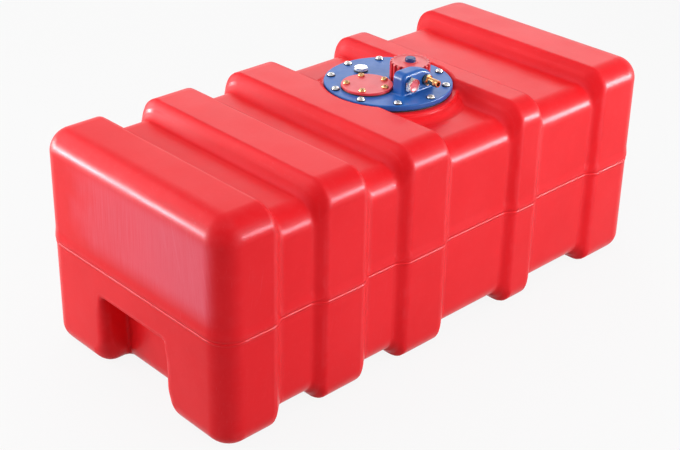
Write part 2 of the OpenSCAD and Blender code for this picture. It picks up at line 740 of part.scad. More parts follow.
module cap_gasket() {
    color([0.08, 0.08, 0.09]) on_plate(cap_seal_z) translate([filler_x, filler_y, 0])
        ring(cap_in_r - cap_gap, cap_in_r - cap_gap - cap_seal_w, cap_seal_t);
}
module filler_cap() {
    skirt_h = cap_h - cap_foot_gap;
    color("tomato") on_plate(plate_z + cap_foot_gap) translate([filler_x, filler_y, 0]) difference() {
        rounded_disc(cap_r, skirt_h, cap_edge_r);
        for (i = [0:rib_n - 1]) rotate(360 * i / rib_n)
            translate([cap_r + rib_hollow_r - rib_d, 0, 0])
                bore(rib_hollow_r, -over, skirt_h + over, $fn = 24);
        bore(cap_in_r, -over, cap_roof_z - plate_z - cap_foot_gap);
        bore(button_r, skirt_h - button_d, skirt_h + over);
    }
}
module cap_button() {
    h = button_d + button_h;
    color("midnightblue") on_plate(cap_z - button_d) translate([filler_x, filler_y, 0])
        rounded_disc(button_r, h, button_edge_r);
}

tank_shell();
threaded_inserts();
plate_gasket();
top_plate();
plate_washers();
plate_screws();
sender_gasket();
sender_inserts();
sender_cover();
sender_screws();
return_plug_seal();
return_plug();
vent_seal();
vent_fitting();
vent_insert();
hose_tail_seal();
hose_tail();
pickup_nut();
pickup_olive();
pickup_tube();
pickup_strainer();
cap_gasket();
filler_cap();
cap_button();
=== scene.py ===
import json
import math

import bpy
import numpy as np
from mathutils import Euler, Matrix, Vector


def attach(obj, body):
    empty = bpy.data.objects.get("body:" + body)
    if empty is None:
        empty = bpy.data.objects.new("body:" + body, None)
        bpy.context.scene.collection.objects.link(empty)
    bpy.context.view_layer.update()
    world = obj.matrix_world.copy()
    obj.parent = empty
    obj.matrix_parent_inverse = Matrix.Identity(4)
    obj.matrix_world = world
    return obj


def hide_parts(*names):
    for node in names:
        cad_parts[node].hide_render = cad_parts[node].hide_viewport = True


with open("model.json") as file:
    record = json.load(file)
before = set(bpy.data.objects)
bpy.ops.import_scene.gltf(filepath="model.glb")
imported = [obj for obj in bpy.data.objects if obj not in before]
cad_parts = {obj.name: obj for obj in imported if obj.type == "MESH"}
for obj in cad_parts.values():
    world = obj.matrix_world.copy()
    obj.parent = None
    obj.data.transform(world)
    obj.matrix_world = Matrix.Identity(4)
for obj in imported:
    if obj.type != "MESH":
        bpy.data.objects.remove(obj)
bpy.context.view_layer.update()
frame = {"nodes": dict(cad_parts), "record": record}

# Sizes follow the CAD model, in millimetres; meshes are scaled to metres when they are made.
MM = 0.001
TANK_L, TANK_W, TANK_H = 762.0, 355.0, 300.0
TOP_R, UNDER_R, CORNER_R = 31.0, 26.0, 32.0
# Widths of bands and grooves in turn, from the near end to the far one
WIDTHS = (85, 65, 75, 63, 78, 126, 51, 122, 97)
BAND_ENDS = np.cumsum(WIDTHS)[:-1] - TANK_L / 2
GROOVES = tuple(zip(BAND_ENDS[0::2], BAND_ENDS[1::2]))
GROOVE_TOP, GROOVE_SIDE, GROOVE_UNDER, GROOVE_ROLL = 22.0, 9.0, 15.0, 20.0
# Parting bead: a lip over and a lesser lip under its middle, and the wall's flare above them
BEAD_Z, LIP_OUT, LIP_OFF, LIP_SPREAD, LOWER_SHARE = 150.0, 1.2, 2.9, 1.35, 0.65
FLARE_OUT, FLARE_OFF, FLARE_RISE, FLARE_FALL = 1.2, 3.0, 5.0, 15.0
# Hand holds: the rounding of their mouths at the floor, and what it loses from one height to another
HOLD_W, HOLD_H, HOLD_D, HOLD_INNER_R = 126.0, 105.0, 38.0, 3.0
MOUTH_R = 24.0
MOUTH_LOSSES = ((10.0, 15.0, 45.0), (5.0, 75.0, 100.0))
# Seat of the service plate, with the step round it and the access hole
SEAT_Z, SEAT_R, SEAT_RIM_R = TANK_H - 9.5, 93.0, 2.2
STEP_DROP, STEP_R, STEP_RIM_R = 6.0, 98.0, 5.0
SEAT_FOOT_Z, SEAT_FILLET, STEP_FILLET, ACCESS_R = 268.0, 9.0, 4.0, 66.0
GASKET_T, PLATE_T, PLATE_R = 1.5, 8.0, 86.0
PLATE_X = sum(GROOVES[2]) / 2
PLATE_Z = SEAT_Z + GASKET_T + PLATE_T
POCKET_R, POCKET_DEPTH, POCKET_EDGE = PLATE_R + 1.5, 4.0, 4.0
FILLER_DX, FILLER_Y = 25.0, -15.5


# Field helpers
def roll(t):
    """A smooth step from 0 to 1."""
    return (1 - np.cos(np.pi * np.clip(t, 0, 1))) / 2


def soft_min(a, b, k):
    """The union of two fields, with a fillet of about 0.85 k where they meet."""
    h = np.clip(0.5 + 0.5 * (b - a) / k, 0, 1)
    return b + (a - b) * h - k * h * (1 - h)


def soft_max(a, b, k):
    """The intersection of two fields, with its edge rounded."""
    return -soft_min(-a, -b, k)


def edge(side, end, r):
    """Where two faces meet in an edge of radius r."""
    u, v = side + r, end + r
    return np.minimum(np.maximum(u, v), 0) + np.hypot(np.maximum(u, 0), np.maximum(v, 0)) - r


def surface_net(field, xs, ys, zs):
    """Vertices and quads on the zero level of a field that is negative inside, on an uneven grid.

    Each cell that the surface cuts has one vertex, at the mean of the crossings on its edges, and each
    grid line that crosses the surface has one quad round it.
    """
    f = field(xs[:, None, None], ys[None, :, None], zs[None, None, :]).astype(np.float32)
    inside = f < 0
    corners = [(i, j, k) for i in (0, 1) for j in (0, 1) for k in (0, 1)]
    cells = [lines - 1 for lines in f.shape]
    parts = [inside[i:i + cells[0], j:j + cells[1], k:k + cells[2]] for i, j, k in corners]
    active = np.logical_or.reduce(parts) & ~np.logical_and.reduce(parts)
    cell = np.argwhere(active)
    number = np.full(active.shape, -1)
    number[active] = np.arange(len(cell))
    # One vertex for each active cell
    axes = (xs, ys, zs)
    at = {c: f[cell[:, 0] + c[0], cell[:, 1] + c[1], cell[:, 2] + c[2]] for c in corners}
    place = {c: np.stack([axes[d][cell[:, d] + c[d]] for d in range(3)], 1) for c in corners}
    total, count = np.zeros((len(cell), 3)), np.zeros(len(cell))
    for a in corners:
        for d in range(3):
            if a[d]:
                continue
            b = tuple(1 if e == d else a[e] for e in range(3))
            crossed = (at[a] < 0) != (at[b] < 0)
            t = np.where(crossed, at[a] / np.where(crossed, at[a] - at[b], 1), 0)[:, None]
            total += crossed[:, None] * (place[a] + t * (place[b] - place[a]))
            count += crossed
    # One quad for each crossed edge of the grid, turned so that its face looks outwards
    quads = []
    for d in range(3):
        u, v = (d + 1) % 3, (d + 2) % 3
        low = [slice(1, -1)] * 3
        low[d] = slice(0, -1)
        high = list(low)
        high[d] = slice(1, None)
        first, last = inside[tuple(low)], inside[tuple(high)]
        start = np.argwhere(first != last)
        start[:, u] += 1
        start[:, v] += 1
        ring = []
        for du, dv in ((-1, -1), (0, -1), (0, 0), (-1, 0)):
            c = start.copy()
            c[:, u] += du
            c[:, v] += dv
            ring.append(number[c[:, 0], c[:, 1], c[:, 2]])
        ring = np.stack(ring, 1)
        leaving = first[first != last]
        ring[~leaving] = ring[~leaving][:, ::-1]
        quads.append(ring)
    return total / count[:, None], np.concatenate(quads)


def slope(field, p, h=0.15):
    """Gradient of a field at each of a list of points, from its values h before and after them."""
    g = np.empty_like(p)
    for d in range(3):
        e = np.zeros(3)
        e[d] = h
        a, b = p + e, p - e
        g[:, d] = (field(a[:, 0], a[:, 1], a[:, 2]) - field(b[:, 0], b[:, 1], b[:, 2])) / (2 * h)
    return g


def settle(field, p, steps=3, reach=1.5):
    """Moves points onto the zero level of the field, by at most reach in each step."""
    for _ in range(steps):
        g = slope(field, p)
        move = g * (field(p[:, 0], p[:, 1], p[:, 2]) / np.maximum((g * g).sum(1), 1e-6))[:, None]
        size = np.maximum(np.linalg.norm(move, axis=1, keepdims=True) / reach, 1)
        p = p - move / size
    return p


def bend(field, p, h=3.0, radius=30.0):
    """How sharply the surface bends at points: 1 on an edge of this radius, negative in a hollow."""
    total = -6 * field(p[:, 0], p[:, 1], p[:, 2])
    for d in range(3):
        e = np.zeros(3)
        e[d] = h
        for q in (p + e, p - e):
            total = total + field(q[:, 0], q[:, 1], q[:, 2])
    return np.clip(total / h ** 2 * radius, -3, 3)


def keep_number(piece, name, numbers):
    """Keeps one number for each vertex on the mesh, for the materials."""
    kept = piece.data.attributes.new(name, "FLOAT", "POINT")
    kept.data.foreach_set("value", np.asarray(numbers, np.float32))


def spaced(*runs):
    """Grid lines from runs of (start, end, step)."""
    return np.unique(np.concatenate([
        np.linspace(a, b, max(2, int(round((b - a) / step)) + 1)) for a, b, step in runs
    ]))


def mesh_piece(name, points, faces, normals=None):
    """A smooth-shaded mesh object from points in millimetres."""
    mesh = bpy.data.meshes.new(name)
    mesh.vertices.add(len(points))
    mesh.vertices.foreach_set("co", (np.asarray(points) * MM).astype(np.float32).ravel())
    sizes = np.array([len(face) for face in faces])
    loops = np.concatenate(faces)
    mesh.loops.add(int(sizes.sum()))
    mesh.loops.foreach_set("vertex_index", np.asarray(loops, np.int32))
    mesh.polygons.add(len(sizes))
    mesh.polygons.foreach_set("loop_start", np.concatenate([[0], np.cumsum(sizes)[:-1]]).astype(np.int32))
    mesh.polygons.foreach_set("use_smooth", np.ones(len(sizes), bool))
    mesh.update(calc_edges=True)
    mesh.validate()
    if normals is not None:
        mesh.normals_split_custom_set_from_vertices(normals.astype(float).tolist())
    piece = bpy.data.objects.new(name, mesh)
    bpy.context.scene.collection.objects.link(piece)
    return piece


def field_piece(name, field, xs, ys, zs, keep=None):
    """A mesh piece of a field's zero level; keep(points) says which vertices' faces stay."""
    points, quads = surface_net(field, xs, ys, zs)
    points = settle(field, points)
    if keep is not None:
        quads = quads[keep(points)[quads].all(1)]
        used = np.unique(quads)
        number = np.full(len(points), -1)
        number[used] = np.arange(len(used))
        points, quads = points[used], number[quads]
    normals = slope(field, points)
    normals /= np.maximum(np.linalg.norm(normals, axis=1, keepdims=True), 1e-9)
    piece = mesh_piece(name, points, quads, normals)
    keep_number(piece, "bend", bend(field, points))
    return piece


# Tank
def groove_share(x):
    """How deep the grooves are at x, from 0 on a band to 1 in a groove."""
    share = 0
    for a, b in GROOVES:
        share = np.maximum(share, roll((x - a) / GROOVE_ROLL + 0.5) * roll((b - x) / GROOVE_ROLL + 0.5))
    return share


def bead_profile(z):
    """How far the parting bead and the flare above it stand out of the wall."""
    up = z - BEAD_Z
    upper = LIP_OUT * np.exp(-((up - LIP_OFF) / LIP_SPREAD) ** 2)
    lower = LOWER_SHARE * LIP_OUT * np.exp(-((up + LIP_OFF) / LIP_SPREAD) ** 2)
    over_flare = up - FLARE_OFF
    flare = FLARE_OUT * (1 - roll(over_flare / FLARE_FALL)) * roll(over_flare / FLARE_RISE + 1)
    return np.maximum(flare, np.maximum(upper, lower))


def banded_body(x, y, z):
    """The tank's outside with its bands, grooves and bead."""
    share = groove_share(x)
    half_w = TANK_W / 2 - GROOVE_SIDE * share
    wall = edge(np.abs(x) - TANK_L / 2, np.abs(y) - half_w, CORNER_R) - bead_profile(z)
    return np.maximum(edge(wall, z - TANK_H + GROOVE_TOP * share, TOP_R),
                      edge(wall, GROOVE_UNDER * share - z, UNDER_R))


def hand_holds(x, y, z):
    """The space of the hand holds in both ends, with rounded inner corners."""
    hx = TANK_L / 2 - HOLD_D - np.abs(x) + HOLD_INNER_R
    hy = np.abs(y) - HOLD_W / 2 + HOLD_INNER_R
    hz = z - HOLD_H + HOLD_INNER_R
    outside = np.sqrt(np.maximum(hx, 0) ** 2 + np.maximum(hy, 0) ** 2 + np.maximum(hz, 0) ** 2)
    return np.minimum(np.maximum(np.maximum(hx, hy), hz), 0) - HOLD_INNER_R + outside


def tank_field(x, y, z):
    """The tank's outside with its hand holds, the plate's pocket and seat, and the access hole."""
    mouth = MOUTH_R - sum(loss * roll((z - low) / (high - low)) for loss, low, high in MOUTH_LOSSES)
    body = soft_max(banded_body(x, y, z), -hand_holds(x, y, z), mouth)
    rho = np.hypot(x - PLATE_X, y)
    body = soft_max(body, -np.maximum(rho - POCKET_R, SEAT_Z - POCKET_DEPTH - z), POCKET_EDGE)
    seat = soft_min(edge(rho - SEAT_R, z - SEAT_Z, SEAT_RIM_R),
                    edge(rho - STEP_R, z - SEAT_Z + STEP_DROP, STEP_RIM_R), STEP_FILLET)
    body = soft_min(body, np.maximum(seat, SEAT_FOOT_Z - z), SEAT_FILLET)
    return np.maximum(body, -np.maximum(rho - ACCESS_R, SEAT_FOOT_Z - z))


def outside_of_access(points):
    """Which points aren't on the floor that the field leaves at the bottom of the access hole."""
    inside = np.hypot(points[:, 0] - PLATE_X, points[:, 1]) < ACCESS_R - 1
    return ~(inside & (points[:, 2] < SEAT_FOOT_Z + 3))


# The grid's lines lie closer at the rounded ends, about the seat, across the bead's lips and at the top
lip_step = 0.8
tank = field_piece(
    "tank", tank_field,
    spaced((-386, -342, 4), (-342, -62, 5.2), (-62, 158, 3), (158, 342, 5.2), (342, 386, 4)),
    spaced((-182, -106, 4.2), (-106, 106, 3), (106, 182, 4.2)),
    spaced((-4, 143, 5), (143, 156, lip_step), (156, 171, 2.1), (171, 262, 5.2), (262, 303, 2.3)),
    keep=outside_of_access,
)
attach(tank, "tank")
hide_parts("tank_shell")


# Service plate with hood and neck, placed from the middle of the plate's upper face
PLATE_TOP_R, PLATE_UNDER_R = 1.6, 2.2
HOOD_X0, HOOD_X1, HOOD_FRONT, HOOD_BACK, HOOD_H = -26.0, 5.0, 53.0, 32.0, 30.0
HOOD_SHOULDER_R, HOOD_EDGE, HOOD_FILLET = 9.0, 5.5, 2.5
CAP_R, CAP_SPACE, CAP_SPACE_EDGE = 27.0, 1.6, 1.5
NECK_R, NECK_BORE_R, NECK_H, NECK_EDGE = 22.0, 18.0, 18.0, 1.0
# How far hood and neck reach down into the plate
SUNK = 4.0
# Under the plate: the spigot ring's and the tube socket's middles and half sizes
SPIGOT_R, SPIGOT_HALF_T, SPIGOT_Z, SPIGOT_HALF_H = 63.5, 2.0, -10.0, 4.0
TAIL_X, DUCT_Y, SOCKET_R, SOCKET_Z, SOCKET_HALF_H = 15.5, 47.0, 6.0, -12.0, 8.0
SENDER_X, SENDER_Y, SENDER_HOLE_R, SENDER_EDGE = -36.5, 3.0, 20.5, 0.8
SCREW_N, SCREW_CIRCLE_R, SCREW_HOLE_R, SCREW_HOLE_EDGE = 10, 77.5, 2.75, 0.6


def hood(x, y, z):
    """The hood: a shoulder at the left, one long round fall to the right, and room for the cap."""
    fall = np.hypot(x - HOOD_X1, np.maximum(z, 0)) - HOOD_H
    front = np.where(x > HOOD_X1, fall, z - HOOD_H)
    front = np.maximum(front, edge(HOOD_X0 - x, z - HOOD_H, HOOD_SHOULDER_R))
    from_middle = np.abs(y + (HOOD_FRONT + HOOD_BACK) / 2)
    body = soft_max(front, from_middle - (HOOD_FRONT - HOOD_BACK) / 2, HOOD_EDGE)
    to_filler = np.hypot(x - FILLER_DX, y - FILLER_Y)
    return soft_max(body, CAP_R + CAP_SPACE - to_filler, CAP_SPACE_EDGE)


def screw_holes(x, y):
    """The ring of holes for the plate's screws."""
    rho = np.hypot(x, y)
    step = math.tau / SCREW_N
    turn = np.arctan2(y, x) % step - step / 2
    return np.hypot(rho * np.cos(turn) - SCREW_CIRCLE_R, rho * np.sin(turn)) - SCREW_HOLE_R


def plate_field(x, y, z):
    """The plate with its hood, neck, spigot, tube socket and bores."""
    rho = np.hypot(x, y)
    to_filler = np.hypot(x - FILLER_DX, y - FILLER_Y)
    disc = np.maximum(edge(rho - PLATE_R, z, PLATE_TOP_R), edge(rho - PLATE_R, -PLATE_T - z, PLATE_UNDER_R))
    body = soft_min(disc, np.maximum(hood(x, y, z), -SUNK - z), HOOD_FILLET)
    neck = edge(to_filler - NECK_R, z - NECK_H, NECK_EDGE)
    body = soft_min(body, np.maximum(neck, -SUNK - z), NECK_EDGE)
    spigot = np.maximum(np.abs(rho - SPIGOT_R) - SPIGOT_HALF_T, np.abs(z - SPIGOT_Z) - SPIGOT_HALF_H)
    to_socket = np.hypot(x - TAIL_X, y + DUCT_Y)
    socket = np.maximum(to_socket - SOCKET_R, np.abs(z - SOCKET_Z) - SOCKET_HALF_H)
    body = np.minimum(body, np.minimum(spigot, socket))
    body = soft_max(body, NECK_BORE_R - to_filler, NECK_EDGE)
    body = soft_max(body, SENDER_HOLE_R - np.hypot(x - SENDER_X, y - SENDER_Y), SENDER_EDGE)
    return soft_max(body, -screw_holes(x, y), SCREW_HOLE_EDGE)


def placed_plate(x, y, z):
    """The plate's field where the plate stands on the tank."""
    return plate_field(x - PLATE_X, y, z - PLATE_Z)


plate_step = 1.15
plate = field_piece(
    "service_plate", placed_plate,
    PLATE_X + spaced((-88, 88, plate_step)), spaced((-88, 88, plate_step)),
    PLATE_Z + spaced((-22, -9, 2.0), (-9, 6, plate_step * 0.7), (6, 24, plate_step * 1.2),
                     (24, 32, plate_step * 0.8)),
)
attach(plate, "tank")
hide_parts("top_plate")


# Filler cap with its grip ribs
CAP_AROUND, RIB_N, RIB_DEEP = 480, 20, 2.4
CAP_INNER_R, CAP_H = 22.3, 26.0


def make_cap():
    """A turned cap whose side is hollowed between its ribs, closed inside as a cup."""
    # Radius, height over the plate, share of the rib hollows
    foot = [(CAP_INNER_R, 0.4, 0), (24.0, 0.4, 0), (25.6, 0.4, 0.3), (26.5, 0.5, 0.9), (26.9, 0.9, 1)]
    side = [(CAP_R, height, 1) for height in (1.6, 6, 12, 18, 22.6, 24.2)]
    rim = [(26.9, 25.1, 0.98), (26.5, 25.7, 0.92), (25.8, CAP_H, 0.7), (24.9, CAP_H, 0.25), (24.2, CAP_H, 0)]
    dish = [(22.6, CAP_H, 0), (22.2, 25.9, 0), (21.9, 25.6, 0), (21.5, 25.5, 0), (16, 25.5, 0)]
    hub = [(10.6, 25.5, 0), (10.2, 25.6, 0), (9.9, 25.9, 0), (9.5, CAP_H, 0), (7.5, CAP_H, 0)]
    button_seat = [(7.1, 25.9, 0), (7.0, 25.6, 0), (7.0, 24.2, 0), (3.5, 24.2, 0), (0.01, 24.2, 0)]
    inside = [(0.01, 20.2, 0), (10, 20.2, 0), (21.8, 20.2, 0), (22.2, 19.8, 0)]
    inside += [(CAP_INNER_R, 19, 0), (CAP_INNER_R, 10, 0)]
    profile = foot + side + rim + dish + hub + button_seat + inside
    turn = np.linspace(0, math.tau, CAP_AROUND, endpoint=False)
    hollow = np.clip(0.42 + 0.85 * np.cos(RIB_N * turn), 0, 1) ** 0.8
    hollow = hollow * hollow * (3 - 2 * hollow)
    points = []
    for radius, height, share in profile:
        reach = radius - share * RIB_DEEP * hollow
        points.append(np.stack([PLATE_X + FILLER_DX + reach * np.cos(turn), FILLER_Y + reach * np.sin(turn),
                                np.full(CAP_AROUND, PLATE_Z + height)], 1))
    points = np.concatenate(points)
    rows = len(profile)
    k, i = np.meshgrid(np.arange(rows), np.arange(CAP_AROUND), indexing="ij")
    next_k, next_i = (k + 1) % rows, (i + 1) % CAP_AROUND
    this_row, next_row = k * CAP_AROUND, next_k * CAP_AROUND
    quads = np.stack([this_row + i, this_row + next_i, next_row + next_i, next_row + i], -1).reshape(-1, 4)
    piece = mesh_piece("ribbed_cap", points, quads)
    # The rib hollows' share is kept for the painted shade between the ribs.
    keep_number(piece, "hollow", [share * h for _, _, share in profile for h in hollow])
    return piece


cap = make_cap()
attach(cap, "cap")
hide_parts("filler_cap")


# Pan-head screws with cross recesses
SCREW_AROUND, SCREW_SHANK_R = 96, 2.5
# Half width of a recess's arms, as a share of their length
ARM_HALF_W = 0.222
HEAD_R, HEAD_H, SCREW_L, WASHER_T = 5.0, 2.3, 19, 0.8
COVER_HEAD_R, COVER_HEAD_H, COVER_SCREW_L, COVER_GASKET_T, COVER_T = 4.6, 3.2, 14, 1.5, 3.0
COVER_CIRCLE_R, COVER_ANGLES = 27.0, (137.5, 62.5, -12.5, -72.5, -147.5)


def screw_profile(r, h, length):
    """Rings of a screw from its tip: radius, height, share of the recess's cross, depth in the recess for
    its painted shade.
    """
    arm = r / 2
    flat = 1.12 * arm
    profile = [(0.01, -length, 0, 0), (2.0, -length, 0, 0), (SCREW_SHANK_R, 0.5 - length, 0, 0),
               (SCREW_SHANK_R, 0, 0, 0), (r - 0.3, 0, 0, 0), (r, 0.25, 0, 0), (r, h * 0.3, 0, 0)]
    for a in np.radians((12, 26, 40, 54, 66)):
        profile.append((flat + (r - flat) * math.cos(a) ** 0.8, h * (0.3 + 0.7 * math.sin(a)), 0, 0))
    return profile + [
        (flat, h, 0, 0), (arm * 1.05, h, 1, 0.1), (arm, h - 0.15, 1, 0.6),
        (arm * 0.92, h * 0.5, 1, 1), (arm * 0.3, h * 0.45, 0.3, 1), (0.01, h * 0.45, 0, 1)]


def cross_screws(name, places, z0, r, h, length):
    """Screws standing at places, with their heads' undersides at z0 and each turned its own way."""
    profile = screw_profile(r, h, length)
    turn = np.linspace(0, math.tau, SCREW_AROUND, endpoint=False)
    points, faces, hollow = [], [], []
    for n, (x, y) in enumerate(places):
        lean = 0.7 * n * n + 0.4
        off_arm = math.pi / 4 - np.abs((turn + lean) % (math.pi / 2) - math.pi / 4)
        cross = np.minimum(1 / np.cos(off_arm), ARM_HALF_W / np.maximum(np.sin(off_arm), 0.01))
        start = n * SCREW_AROUND * len(profile)
        for radius, height, share, dark in profile:
            for t, shape in zip(turn, cross):
                reach = radius * (1 + share * (shape - 1))
                points.append((x + reach * math.cos(t), y + reach * math.sin(t), z0 + height))
                hollow.append(dark)
        for k in range(len(profile) - 1):
            a = start + k * SCREW_AROUND
            b = a + SCREW_AROUND
            for i in range(SCREW_AROUND):
                j = (i + 1) % SCREW_AROUND
                faces.append((a + i, a + j, b + j, b + i))
        faces.append(tuple(start + i for i in reversed(range(SCREW_AROUND))))
        last = start + (len(profile) - 1) * SCREW_AROUND
        faces.append(tuple(last + i for i in range(SCREW_AROUND)))
    piece = mesh_piece(name, points, faces)
    keep_number(piece, "hollow", hollow)
    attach(piece, "tank")
    return piece


def on_circle(x, y, radius, angles):
    """Places on a circle, at angles in degrees."""
    turns = [math.radians(a) for a in angles]
    return [(x + radius * math.cos(t), y + radius * math.sin(t)) for t in turns]


plate_screws = cross_screws(
    "plate_screw_set",
    on_circle(PLATE_X, 0, SCREW_CIRCLE_R, [(n + 0.5) * 360 / SCREW_N for n in range(SCREW_N)]),
    PLATE_Z + WASHER_T, HEAD_R, HEAD_H, SCREW_L)
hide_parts("plate_screws")
cover_screws = cross_screws(
    "cover_screw_set", on_circle(PLATE_X + SENDER_X, SENDER_Y, COVER_CIRCLE_R, COVER_ANGLES),
    PLATE_Z + COVER_GASKET_T + COVER_T, COVER_HEAD_R, COVER_HEAD_H, COVER_SCREW_L)
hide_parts("sender_screws")


# Materials, all from nodes in the object's own coordinates
def feed(tree, socket, value):
    """Sets a socket to a number or colour, or links another node's output to it."""
    if isinstance(value, (int, float)):
        socket.default_value = value
    elif isinstance(value, tuple):
        socket.default_value = (*value, 1)[:len(socket.default_value)]
    else:
        tree.links.new(value, socket)


def math_node(tree, operation, a, b):
    """The output of a Math node of two values."""
    node = tree.nodes.new("ShaderNodeMath")
    node.operation = operation
    feed(tree, node.inputs[0], a)
    feed(tree, node.inputs[1], b)
    return node.outputs[0]


def darker(color, share):
    """The colour with each of its parts brought down to a share."""
    return tuple(c * share for c in color)


class Look:
    """One material being built, with short calls for the nodes it needs."""

    def __init__(self, name, roughness, metallic=0.0, level=0.5):
        self.made = bpy.data.materials.new(name)
        self.made.use_nodes = True
        self.tree = self.made.node_tree
        self.shader = self.tree.nodes["Principled BSDF"]
        self.shader.inputs["Roughness"].default_value = roughness
        self.shader.inputs["Metallic"].default_value = metallic
        self.shader.inputs["Specular IOR Level"].default_value = level
        self.place = self.tree.nodes.new("ShaderNodeTexCoord").outputs["Object"]

    def feed(self, socket, value):
        """Sets or links a socket of one of this material's nodes."""
        feed(self.tree, socket, value)

    def plus(self, *values):
        """The sum of values."""
        total = values[0]
        for value in values[1:]:
            total = math_node(self.tree, "ADD", total, value)
        return total

    def most(self, *values):
        """The highest of values."""
        highest = values[0]
        for value in values[1:]:
            highest = math_node(self.tree, "MAXIMUM", highest, value)
        return highest

    def times(self, *values):
        """The product of values."""
        product = values[0]
        for value in values[1:]:
            product = math_node(self.tree, "MULTIPLY", product, value)
        return product

    def axis(self, letter):
        """The object's own coordinate along x, y or z, in metres."""
        node = self.tree.nodes.new("ShaderNodeSeparateXYZ")
        self.feed(node.inputs[0], self.place)
        return node.outputs[letter.upper()]

    def facing(self, direction):
        """How far the smooth surface faces a direction of the whole object, from 0 to 1."""
        node = self.tree.nodes.new("ShaderNodeVectorMath")
        node.operation = "DOT_PRODUCT"
        self.feed(node.inputs[0], self.tree.nodes.new("ShaderNodeNewGeometry").outputs["Normal"])
        node.inputs[1].default_value = direction
        return self.most(node.outputs["Value"], 0.0)

    def noise(self, size, detail=2.0, rough=0.5, stretch=(1, 1, 1), turn=(0, 0, 0)):
        """Noise whose blobs are about size metres, drawn out by stretch."""
        spread = self.tree.nodes.new("ShaderNodeMapping")
        spread.vector_type = "TEXTURE"
        self.feed(spread.inputs["Vector"], self.place)
        spread.inputs["Scale"].default_value = stretch
        spread.inputs["Rotation"].default_value = turn
        node = self.tree.nodes.new("ShaderNodeTexNoise")
        self.feed(node.inputs["Vector"], spread.outputs[0])
        node.inputs["Scale"].default_value = 1 / size
        node.inputs["Detail"].default_value = detail
        node.inputs["Roughness"].default_value = rough
        return node.outputs["Fac"]

    def ramp(self, value, low, high, a=0.0, b=1.0):
        """A smooth step of value between low and high, from a to b."""
        node = self.tree.nodes.new("ShaderNodeMapRange")
        node.interpolation_type = "SMOOTHSTEP"
        self.feed(node.inputs["Value"], value)
        for name, number in (("From Min", low), ("From Max", high), ("To Min", a), ("To Max", b)):
            node.inputs[name].default_value = number
        return node.outputs[0]

    def mix(self, share, a, b):
        """Colour a, or as much of colour b as share says."""
        node = self.tree.nodes.new("ShaderNodeMix")
        node.data_type = "RGBA"
        self.feed(node.inputs[0], share)
        self.feed(node.inputs[6], a)
        self.feed(node.inputs[7], b)
        return node.outputs[2]

    def value(self, name):
        """A number kept on the mesh's vertices."""
        node = self.tree.nodes.new("ShaderNodeAttribute")
        node.attribute_name = name
        return node.outputs["Fac"]

    def finish(self, color, roughness, *bumps):
        """Colour, roughness, and bumps as pairs of height and depth in metres."""
        self.feed(self.shader.inputs["Base Color"], color)
        self.feed(self.shader.inputs["Roughness"], roughness)
        below = None
        for height, depth in bumps:
            node = self.tree.nodes.new("ShaderNodeBump")
            node.inputs["Distance"].default_value = depth
            self.feed(node.inputs["Height"], height)
            if below is not None:
                self.feed(node.inputs["Normal"], below)
            below = node.outputs[0]
        if below is not None:
            self.feed(self.shader.inputs["Normal"], below)
        return self.made


def scratches(look, width, stretch, turn):
    """Thin straight lines: the peaks of long drawn-out noise, in patches."""
    line = look.ramp(look.noise(width, 1.0, 0.4, stretch, turn), 0.70, 0.78)
    return look.times(line, look.ramp(look.noise(width * 45, 1.0), 0.42, 0.6))


def end_sheen_and_marks(look):
    """The painted reflection on the upper half of both end faces, and the fine upright marks in it."""
    uneven = look.ramp(look.noise(0.05, 2.0), 0.0, 1.0, -0.03, 0.03)
    end_sheen = look.times(
        look.plus(look.facing((-1, 0, 0)), look.facing((1, 0, 0))),
        look.ramp(look.axis("z"), 0.158, 0.19),
        look.ramp(look.axis("z"), 0.288, 0.258),
        look.ramp(look.plus(look.axis("y"), uneven), 0.125, 0.06),
        look.ramp(look.axis("y"), -0.165, -0.14),
    )
    upright = look.ramp(look.noise(0.0015, 2.0, 0.6, (1, 1, 45), (0.03, 0, 0)), 0.3, 0.7)
    slant = look.ramp(look.noise(0.002, 2.0, 0.6, (1, 1, 40), (-0.2, 0, 0)), 0.42, 0.7)
    slant = look.times(slant, look.ramp(look.axis("y"), 0.0, -0.1))
    return end_sheen, look.times(end_sheen, look.most(look.times(upright, 0.7), slant))


